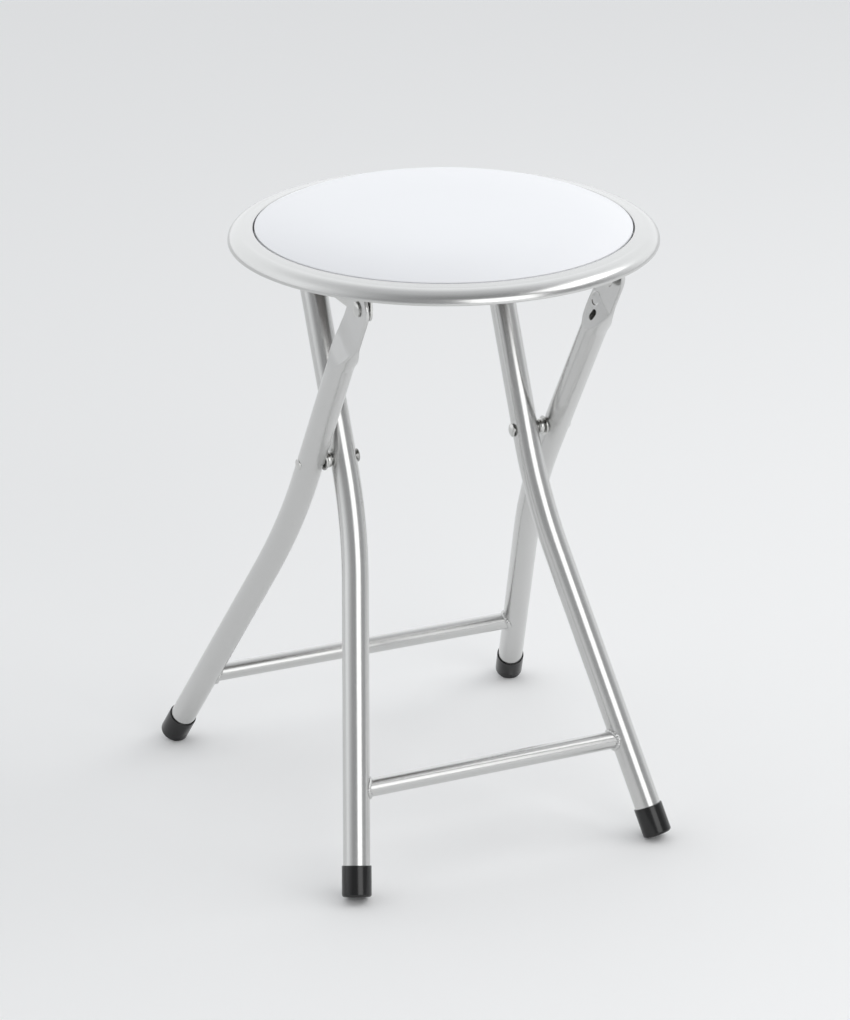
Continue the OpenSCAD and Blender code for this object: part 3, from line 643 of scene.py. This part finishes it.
class STOOL_OT_inner_frame(bpy.types.Operator):
    """Add the inner frame: one tube bent into a tall arch"""

    bl_idname = "stool.inner_frame"
    bl_label = "Inner Frame"

    def execute(self, context):
        f, g = context.scene.stool_frame, derive(context.scene)
        start = f.inner_bend_down - f.inner_bend_r * math.tan(f.splay / 2)
        stop = start + f.inner_bend_r * math.sin(f.splay)
        end = f.inner_down - f.cap_floor * math.cos(f.splay)
        # The centreline from the right foot to the middle of the top bar, and its heading
        s = np.concatenate(
            [[end], np.linspace(stop, start, 48), np.linspace(start, f.corner_r - f.top_up, 6)[1:]])
        x, phi = leg_line(g.inner_x, f.inner_bend_down, f.inner_bend_r, f.splay, s)
        turn = np.linspace(0, math.pi / 2, 33)[1:]
        corner = f.corner_r * np.stack([np.cos(turn), np.sin(turn)], -1)
        corner = corner + (g.inner_x - f.corner_r, f.top_up - f.corner_r)
        line = np.concatenate([np.stack([x, -s], -1), corner])
        heading = math.pi / 2 + np.concatenate([phi, turn])
        # Bending flattens the tube a little at the corners: narrower in the bend's plane, wider across it
        narrower, wider = 0.025, 0.010
        bent = np.concatenate([0 * s, np.sin(2 * turn)])
        # The left half is the mirror image, run back down
        line = np.concatenate([line, line[::-1] * (-1, 1)])
        heading = np.concatenate([heading, TURN - heading[::-1]])[:, None]
        bent = np.concatenate([bent, bent[::-1]])[:, None]
        a = np.arange(96) / 96 * TURN
        across = g.tube_r * (1 - narrower * bent) * np.cos(a)
        deep = g.tube_r * (1 + wider * bent) * np.sin(a)
        grid = np.stack(
            [line[:, :1] + across * np.sin(heading), deep, line[:, 1:] - across * np.cos(heading)], -1)
        mesh = build_mesh("inner_arch", [(closed_ends(leaned(grid, g, -f.inner_lean)), False, True)])
        paint = finish(satin_silver_enamel, context.scene.stool_colours.silver)
        add_piece("inner_arch", mesh, "inner_frame", paint, ["inner_frame_tube"])
        return {"FINISHED"}


def frames(scene):
    """Both frames' numbers: name, body, x at the pivot, bend, bend radius, bar, foot, lean."""
    f, g = scene.stool_frame, derive(scene)
    return (
        ("outer", "outer_frame", f.outer_x, f.outer_bend_down, f.outer_bend_r,
         f.outer_bar_down, f.outer_down, f.outer_lean),
        ("inner", "inner_frame", g.inner_x, f.inner_bend_down, f.inner_bend_r,
         f.inner_bar_down, f.inner_down, -f.inner_lean))


class STOOL_OT_cross_bars(bpy.types.Operator):
    """Add the two cross bars and their weld beads"""

    bl_idname = "stool.cross_bars"
    bl_label = "Cross Bars"

    def execute(self, context):
        f, g = context.scene.stool_frame, derive(context.scene)
        paint = finish(satin_silver_enamel, context.scene.stool_colours.silver)
        for name, body, x0, bend, radius, bar, _, lean in frames(context.scene):
            middle = float(leg_line(x0, bend, radius, f.splay, np.array([bar]))[0][0])
            # The bar's ends lie hidden in the legs, this far short of their axes
            short = 5 * MM
            reach = np.linspace(short - middle, middle - short, 9)
            rod = along_x(lathe([(g.bar_r, h) for h in reach], 72)) - (0, 0, bar)
            mesh = build_mesh(name + "_bar", [(closed_ends(leaned(rod, g, lean)), False, True)])
            add_piece(name + "_bar", mesh, body, paint, [name + "_cross_bar"])
            # The seam where the bar's surface meets the leg's. With X along the bar from the leg's
            # axis, z the height over the bar's axis, and sin and cos those of the splay:
            # (X cos) squared + 2 X z sin cos + bar radius squared - (z cos) squared
            # = tube radius squared, solved for the inner of its two roots
            a = np.arange(144) / 144 * TURN
            cos, sin = math.cos(f.splay), math.sin(f.splay)
            y, z = g.bar_r * np.cos(a), g.bar_r * np.sin(a)
            half_b, low = z * sin * cos, g.bar_r ** 2 - (z * cos) ** 2 - g.tube_r ** 2
            seam = (-half_b - np.sqrt(half_b ** 2 - cos * cos * low)) / (cos * cos)
            line = np.stack([middle + seam, y, z - bar], -1)
            # The bead is a tube round the seam, its radius rippled as the weld pool stepped on: 24
            # ripples and 5 slower waves, as shares of the radius
            ripple, wander = 0.10 * np.sin(24 * a), 0.07 * np.sin(5 * a + 1)
            bead = (f.weld_r * (1 + ripple + wander))[:, None, None]
            ahead = np.roll(line, -1, 0) - np.roll(line, 1, 0)
            ahead /= np.linalg.norm(ahead, axis=1, keepdims=True)
            out = np.stack([0 * a, np.cos(a), np.sin(a)], -1)
            out -= (out * ahead).sum(1, keepdims=True) * ahead
            out /= np.linalg.norm(out, axis=1, keepdims=True)
            side = np.cross(ahead, out)
            b = (np.arange(20) / 20 * TURN)[:, None]
            ring = line[:, None] + bead * (np.cos(b) * out[:, None] + np.sin(b) * side[:, None])
            shells = [(leaned(p, g, lean), True, True) for p in (ring, mirrored(ring))]
            welds = build_mesh(name + "_welds", shells, crease=60)
            add_piece(name + "_welds", welds, body, paint, [name + "_bar_welds"])
        return {"FINISHED"}


class STOOL_OT_foot_caps(bpy.types.Operator):
    """Add the four black foot caps"""

    bl_idname = "stool.foot_caps"
    bl_label = "Foot Caps"

    def execute(self, context):
        f, g = context.scene.stool_frame, derive(context.scene)
        black = finish(moulded_black_pvc, context.scene.stool_colours.rubber)
        wall = g.tube_r + 0.05 * MM
        low_edge, top_edge, mouth, root = 2 * MM, 0.45 * MM, 0.3 * MM, 0.2 * MM
        profile = rounded(
            [(0, 0), (g.cap_r, 0), (g.cap_r, f.cap_len), (wall, f.cap_len), (wall, f.cap_floor),
             (0, f.cap_floor)],
            [0, low_edge, top_edge, mouth, root, 0], 8)
        sleeve = lathe(profile, 96)
        for name, body, x0, bend, radius, _, down, lean in frames(context.scene):
            foot = float(leg_line(x0, bend, radius, f.splay, np.array([down]))[0][0])
            placed = turned(sleeve, 1, -f.splay) + (foot, 0, -down)
            for side, flip in SIDES:
                points = leaned(flip(placed), g, lean)
                # The flat worn where the cap stands
                points[..., 2] = np.maximum(points[..., 2], 0)
                mesh = build_mesh(f"{name}_cap_{side}", [(points, False, True)])
                add_piece(f"{name}_cap_{side}", mesh, body, black, [f"{name}_foot_{side}"])
        return {"FINISHED"}


class STOOL_OT_rivets(bpy.types.Operator):
    """Add the pivot and hinge rivets with their spacers and washers"""

    bl_idname = "stool.rivets"
    bl_label = "Rivets"

    def execute(self, context):
        f, g = context.scene.stool_frame, derive(context.scene)
        r, rail_t = context.scene.stool_rivets, context.scene.stool_seat.rail_t
        zinc = finish(bright_zinc_plate, context.scene.stool_colours.steel)

        def dome(x, radius, tall, way, neck, n=14):
            """A head's profile: an undercut neck, a low rim, then a cap of a sphere up to the axis.

            With h the cap's height, the sphere's radius is (radius squared + h squared) / 2 h.
            """
            chamfer, rim, undercut = 0.1 * MM, 0.3 * MM, 1.1 * MM
            h = tall - neck - rim
            ball = (radius ** 2 + h ** 2) / (2 * h)
            t = np.linspace(math.asin(min(1, radius / ball)), 0, n)
            cap = [(ball * math.sin(k), x + way * (tall - ball + ball * math.cos(k))) for k in t]
            lift = neck + chamfer
            return [(radius - undercut, x), (radius - undercut, x + way * neck),
                    (radius - chamfer, x + way * lift)] + cap

        def band(x1, x2, r1, r2, e):
            """A ring's closed profile from x1 to x2, between two radii, its outer edges rounded."""
            return rounded([(r1, x1), (r2, x1), (r2, x2), (r1, x2)], [0, e, e, 0], 4)

        def barrel(x1, x2, r1, r2, n=16):
            """A ball-like collar's closed profile.

            With t from -1 to 1 along it, its radius falls by the fall times one minus the root of
            one minus (share times t) squared.
            """
            fall, share = 1.9 * MM, 0.97
            t = np.linspace(-1, 1, n)
            radius = r2 - fall * (1 - np.sqrt(1 - (share * t) ** 2))
            out = np.stack([radius, (x1 + x2) / 2 + t * (x2 - x1) / 2], -1)
            return np.concatenate([[(r1, x1)], out, [(r1, x2)]])

        def add_metal(name, node, shells):
            """Adds a zinc-plated piece that rides on the outer frame."""
            mesh = build_mesh(name, shells, crease=45)
            add_piece(name, mesh, "outer_frame", zinc, [node])

        pivot_neck, hinge_neck, edge, inner_edge = 0.6 * MM, 0.8 * MM, 0.5 * MM, 0.3 * MM
        # A pivot rivet's shank and domed head, and its flat head: both start inside the leg's round side
        shank_in, flat_in = 1.5 * MM, 2 * MM
        shank, flat_r = r.pivot_d / 2, r.flat_head_d / 2
        inner, outer = g.inner_x - g.tube_r - r.turn_gap, f.outer_x + g.tube_r
        pivot = [(shank, outer - shank_in), (shank, inner)]
        pivot += dome(inner, r.pivot_head_d / 2, r.pivot_head_h, -1, pivot_neck)
        root, face = outer - flat_in, outer + r.flat_head_h
        flat = rounded([(shank, root), (flat_r, root), (flat_r, face), (0, face)], [0, 0, edge, 0], 5)
        # A spacer and a washer fill the gap between the legs
        hole, leg = shank + r.hold_fit, f.outer_x - g.tube_r
        spacer = barrel(g.inner_x + g.tube_r + r.turn_gap, leg - r.washer_t, hole, r.spacer_d / 2)
        washer = band(leg - r.washer_t, leg, hole, r.washer_d / 2, 0.25 * MM)
        # A hinge rivet's shank and domed head on the flat leg end, its tail behind the rail, its washer
        shank, tail_r = r.hinge_d / 2, r.hinge_tail_d / 2
        tail, under = g.rail_face - rail_t - r.turn_gap, g.tongue_face + f.tongue_t
        hinge = [(shank, tail), (shank, under)]
        hinge += dome(under, r.hinge_head_d / 2, r.hinge_head_h, 1, hinge_neck)
        back = tail - r.hinge_tail_h
        stub = [(0, back), (tail_r, back), (tail_r, tail), (shank, tail)]
        stub = rounded(stub, [0, edge, inner_edge, 0], 4)
        hinge_washer = band(
            g.rail_face + r.turn_gap, g.tongue_face, shank + r.hold_fit, r.hinge_washer_d / 2, inner_edge)

        for name, profiles, ring, up in (
                ("pivot_rivet", [pivot, flat], False, 0.0),
                ("pivot_spacer", [spacer], True, 0.0),
                ("hinge_rivet", [hinge, stub], False, f.hinge_up)):
            for side, flip in SIDES:
                turned_up = [along_x(lathe(p, 64)) + (0, 0, up) for p in profiles]
                shells = [(leaned(flip(p), g, f.outer_lean), ring, True) for p in turned_up]
                add_metal(f"{name}_{side}_metal", f"{name}_{side}", shells)
        for name, profile, up in (
                ("pivot_washers", washer, 0.0), ("hinge_washers", hinge_washer, f.hinge_up)):
            ring = along_x(lathe(profile, 64)) + (0, 0, up)
            shells = [(leaned(p, g, f.outer_lean), True, True) for p in (ring, mirrored(ring))]
            add_metal(name + "_metal", name, shells)
        return {"FINISHED"}


class STOOL_OT_seat_ring(bpy.types.Operator):
    """Add the pressed seat ring"""

    bl_idname = "stool.seat_ring"
    bl_label = "Seat Ring"

    def execute(self, context):
        s, g = context.scene.stool_seat, derive(context.scene)
        t, low, top = s.sheet_t, s.flange_up, s.shoulder_h + s.lip_rise
        crease_bend, lip_bend, bend, root = 0.5 * MM, 0.9 * MM, 0.3 * MM, 1 * MM
        # A half-round hem, a shoulder that is a quarter of an ellipse, then the lip, its wall and the flange
        k = np.linspace(0, math.pi, 13)
        hem = np.stack([g.ring_r - s.hem_r - s.hem_r * np.cos(k), -s.hem_r * np.sin(k)], -1)
        k = np.linspace(0, math.pi / 2, 25)[1:-1]
        arc = np.stack([np.cos(k), np.sin(k)], -1)
        shoulder = (g.crease_r, 0) + arc * (s.shoulder_w, s.shoulder_h)
        under = ((g.crease_r, 0) + arc * (s.shoulder_w - t, s.shoulder_h - t))[::-1]
        lip = rounded(
            [shoulder[-1], (g.crease_r, s.shoulder_h), (g.lip_r, top), (g.lip_r, low + t),
             (g.flange_r, low + t), (g.flange_r, low), (g.lip_r + t, low), (g.lip_r + t, top - root - t),
             (g.crease_r, s.shoulder_h - t), under[0]],
            [0, crease_bend, lip_bend, bend, bend, bend, root, bend, 0, 0], 6)
        profile = np.concatenate([hem, shoulder[:-1], lip, under[1:], [(g.ring_r - t, 0)]])
        grid = lathe(profile, 240) + (0, g.seat_y, g.ring_z)
        mesh = build_mesh("seat_ring_pressing", [(grid, True, True)], crease=50)
        paint = finish(satin_silver_enamel, context.scene.stool_colours.silver)
        add_piece("seat_ring_pressing", mesh, "seat", paint, ["seat_ring"])
        return {"FINISHED"}


def inflated(mesh, held_below, most):
    """Blows a closed mesh up as cloth under pressure, its points below a height held fast.

    Each move is shortened to most times the hyperbolic tangent of its share of most.
    """
    scene, last_step = bpy.context.scene, 20
    start = np.empty(len(mesh.vertices) * 3)
    mesh.vertices.foreach_get("co", start)
    start = start.reshape(-1, 3)
    bag = bpy.data.objects.new("cover_blank", mesh.copy())
    scene.collection.objects.link(bag)
    pins = bag.vertex_groups.new(name="held")
    pins.add(np.flatnonzero(start[:, 2] < held_below).tolist(), 1.0, "REPLACE")
    cloth = bag.modifiers.new("cover", "CLOTH")
    rules = cloth.settings
    # A light, stiff sheet, free of gravity, blown from inside
    rules.quality, rules.mass = 10, 0.3
    rules.tension_stiffness = rules.compression_stiffness = 40
    rules.bending_stiffness = 8
    rules.vertex_group_mass = "held"
    rules.use_pressure, rules.uniform_pressure_force = True, 4
    rules.effector_weights.gravity = 0
    cloth.collision_settings.use_collision = False
    cloth.point_cache.frame_start, cloth.point_cache.frame_end = 1, last_step
    for step in range(1, last_step + 1):
        scene.frame_set(step)
    blown = bag.evaluated_get(bpy.context.evaluated_depsgraph_get()).to_mesh()
    end = np.empty(len(blown.vertices) * 3)
    blown.vertices.foreach_get("co", end)
    move = end.reshape(-1, 3) - start
    size = np.linalg.norm(move, axis=1, keepdims=True)
    move *= most * np.tanh(size / most) / np.maximum(size, 1e-9)
    scene.frame_set(1)
    bpy.data.objects.remove(bag)
    mesh.vertices.foreach_set("co", (start + move).astype(np.float32).ravel())
    mesh.update()


class STOOL_OT_cushion(bpy.types.Operator):
    """Add the padded cushion: its cover blown up as cloth over the foam, and its hem under the board"""

    bl_idname = "stool.cushion"
    bl_label = "Cushion"

    def execute(self, context):
        s, g = context.scene.stool_seat, derive(context.scene)
        rim, board_r = g.cushion_r, g.cushion_r - s.cover_t
        place = (0, g.seat_y, 0)
        # The crown falls as a power of the radius, so it is nearly level and then rolls over
        r = rim * (1 - (1 - np.linspace(0, 1, 44)) ** 2)
        crown = np.stack([r, g.lip_z + (s.crown_h - s.swell) * (1 - (r / rim) ** s.crown_flat)], -1)
        # Below the lip the blank goes straight down, then closes under the pad, hidden in the board
        bottom = g.board_z + s.board_t - 2 * MM
        low = [(rim, g.lip_z - k * MM) for k in (1.2, 2.4)]
        low += [(board_r * k, bottom) for k in (0.985, 0.75, 0.5, 0.25, 0)]
        blank = lathe(np.concatenate([crown, low]), 128) + place
        mesh = build_mesh("cushion", [(blank, False, True)], crease=70)
        # Held up to just above the lip, so that the gap beside the ring stays even
        inflated(mesh, g.lip_z + 0.4 * MM, s.swell)
        # The hem lies round the board's edge and on the flange, its outer fold softer than its others
        seam, soft_fold, fold = g.lip_z - 1 * MM, 0.8 * MM, 0.3 * MM
        hem = rounded(
            [(rim, seam), (rim, g.flange_z), (g.flange_r, g.flange_z), (g.flange_r, g.board_z),
             (board_r, g.board_z), (board_r, seam)],
            [0, soft_fold, fold, fold, 0, 0], 4)
        skirt = build_mesh("cushion_hem", [(lathe(hem, 128) + place, True, True)], crease=50)
        white = finish(white_upholstery_vinyl, context.scene.stool_colours.vinyl)
        cushion = add_piece("cushion", mesh, "seat", white, ["seat_cover", "seat_foam"])
        smooth = cushion.modifiers.new("smooth", "SUBSURF")
        smooth.levels = smooth.render_levels = 1
        add_piece("cushion_hem", skirt, "seat", white, ["seat_cover"])
        return {"FINISHED"}


class STOOL_OT_underside(bpy.types.Operator):
    """Finish the board, rails, catches and screws under the seat"""

    bl_idname = "stool.underside"
    bl_label = "Underside"

    def execute(self, context):
        colours = context.scene.stool_colours
        # The board's dark brown finish is painted shade, standing in for the shade under the seat
        finishes = {"seat_board": finish(hardboard_darkened_as_painted_shade, colours.board)}
        for name in ("hinge_rail_left", "hinge_rail_right", "rail_screws",
                     "bar_catch_left", "bar_catch_right", "catch_screws"):
            finishes[name] = finish(bright_zinc_plate, colours.steel)
        for name, material in finishes.items():
            part = frame["nodes"][name]
            part.data.materials.clear()
            part.data.materials.append(material)
        return {"FINISHED"}


# Studio


class STOOL_OT_studio(bpy.types.Operator):
    """Set up the pale floor, the soft lights and the camera"""

    bl_idname = "stool.studio"
    bl_label = "Studio"

    def execute(self, context):
        scene = context.scene
        # A square floor, half its side in metres
        half = 12.0
        mesh = bpy.data.meshes.new("studio_floor")
        corners = [(-half, -half, 0), (half, -half, 0), (half, half, 0), (-half, half, 0)]
        mesh.from_pydata(corners, [], [(0, 1, 2, 3)])
        mesh.materials.append(finish(pale_studio_paper, scene.stool_colours.studio))
        floor = bpy.data.objects.new("studio_floor", mesh)
        scene.collection.objects.link(floor)

        world = bpy.data.worlds.new("studio_air")
        scene.world = world
        world.use_nodes = True
        tree = world.node_tree
        tree.nodes.clear()
        # A bright room behind and at the sides, dimmer in front of the stool and overhead
        way = add_node(tree, "ShaderNodeTexCoord").outputs["Generated"]
        part = add_node(tree, "ShaderNodeSeparateXYZ", links={"Vector": way})
        behind = add_node(
            tree, "ShaderNodeMapRange", {"From Min": -0.5, "From Max": 0.25, "To Min": 0.39, "To Max": 1.20},
            {"Value": part.outputs["Y"]})
        above = add_node(
            tree, "ShaderNodeMapRange", {"From Min": 0.6, "From Max": 0.92, "To Min": 1.0, "To Max": 0.6},
            {"Value": part.outputs["Z"]})
        level = add_node(tree, "ShaderNodeMath", links={0: behind, 1: above}, operation="MULTIPLY")
        light = add_node(
            tree, "ShaderNodeBackground", {"Color": (0.97, 0.985, 1.0, 1.0)}, {"Strength": level})
        add_node(tree, "ShaderNodeOutputWorld", links={"Surface": light})

        # Two soft boxes turned to the stool: name, place, width and height in metres, watts
        middle = Vector((0, -0.02, 0.25))
        for name, place, width, tall, power in (
                ("right_box", (1.8, -0.7, 2.2), 2.2, 1.2, 17),
                ("front_box", (0.30, -2.6, 1.25), 1.8, 1.9, 19)):
            data = bpy.data.lights.new(name, "AREA")
            data.shape, data.size, data.size_y, data.energy = "RECTANGLE", width, tall, power
            lamp = bpy.data.objects.new(name, data)
            lamp.location = place
            lamp.rotation_euler = (Vector(place) - middle).to_track_quat("Z", "Y").to_euler()
            scene.collection.objects.link(lamp)

        # The camera fitted to the photograph: its width, height, focal length and centre in pixels
        wide, high, focal, centre_x, centre_y = 850, 1020, 3513.547, 443.721, 514.601
        data = bpy.data.cameras.new("camera")
        data.sensor_fit, data.sensor_width = "HORIZONTAL", 36
        data.lens = focal * data.sensor_width / wide
        data.shift_x, data.shift_y = (wide / 2 - centre_x) / wide, (centre_y - high / 2) / wide
        data.clip_end = 50
        # Where it stands: its turn and rise as angles, its distance from a point inside the stool
        turn, rise, away = -0.4227, 0.3818, 2.51544
        target = Vector((0, derive(scene).seat_y, 0.230))
        along = math.cos(rise)
        back = Vector((math.sin(turn) * along, -math.cos(turn) * along, math.sin(rise)))
        camera = bpy.data.objects.new("camera", data)
        camera.location = target + back * away
        camera.rotation_mode = "QUATERNION"
        camera.rotation_quaternion = back.to_track_quat("Z", "Y")
        scene.collection.objects.link(camera)
        scene.camera = camera
        scene.view_settings.view_transform = "Standard"
        return {"FINISHED"}


OPERATORS = (
    STOOL_OT_studio, STOOL_OT_outer_legs, STOOL_OT_inner_frame, STOOL_OT_cross_bars, STOOL_OT_foot_caps,
    STOOL_OT_rivets, STOOL_OT_seat_ring, STOOL_OT_cushion, STOOL_OT_underside)


class STOOL_PT_pieces(bpy.types.Panel):
    """Lists the stool's pieces, sizes and colours"""

    bl_idname = "STOOL_PT_pieces"
    bl_label = "Folding Stool"
    bl_space_type = "VIEW_3D"
    bl_region_type = "UI"
    bl_category = "Stool"

    def draw(self, context):
        layout = self.layout
        for operator in OPERATORS:
            layout.operator(operator.bl_idname)
        for name, group in GROUPS.items():
            box = layout.box()
            for key in group.__annotations__:
                box.prop(getattr(context.scene, name), key)


GROUPS = {
    "stool_frame": StoolFrameSizes, "stool_seat": StoolSeatSizes, "stool_rivets": StoolRivetSizes,
    "stool_colours": StoolColours}
CLASSES = tuple(GROUPS.values()) + OPERATORS + (STOOL_PT_pieces,)


def register():
    for cls in CLASSES:
        bpy.utils.register_class(cls)
    for name, group in GROUPS.items():
        setattr(bpy.types.Scene, name, PointerProperty(type=group))


def unregister():
    for name in GROUPS:
        delattr(bpy.types.Scene, name)
    for cls in reversed(CLASSES):
        bpy.utils.unregister_class(cls)


def main():
    register()
    for operator in OPERATORS:
        group, name = operator.bl_idname.split(".")
        getattr(getattr(bpy.ops, group), name)()


if __name__ == "__main__":
    main()
